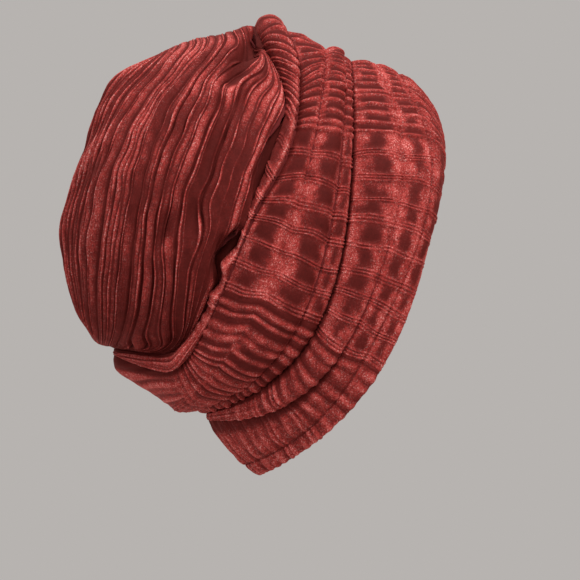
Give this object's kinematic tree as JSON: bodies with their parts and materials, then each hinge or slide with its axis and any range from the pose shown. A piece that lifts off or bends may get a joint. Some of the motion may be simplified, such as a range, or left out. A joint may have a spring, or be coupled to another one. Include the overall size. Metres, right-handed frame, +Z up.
{
  "type": "slouchy beanie",
  "caption": "Slouchy beanie of pleated velvet: a snug hemmed front band, a folded rear band with a rolled lip, and a slack bag-shaped crown.",
  "frame": {"origin": "middle of the rim opening, midway between its edge over the brow and its edge at the nape", "axes": "+X towards the face side, +Y to the wearer's left, +Z up, as the hat is worn"},
  "size_m": [0.2173, 0.1748, 0.2588],
  "materials": {
    "velvet": "pleated red velvet with a short shiny nap"
  },
  "bodies": {
    "root": {"front_band": "velvet", "rear_band": "velvet", "crown": "velvet"}
  },
  "joints": []
}
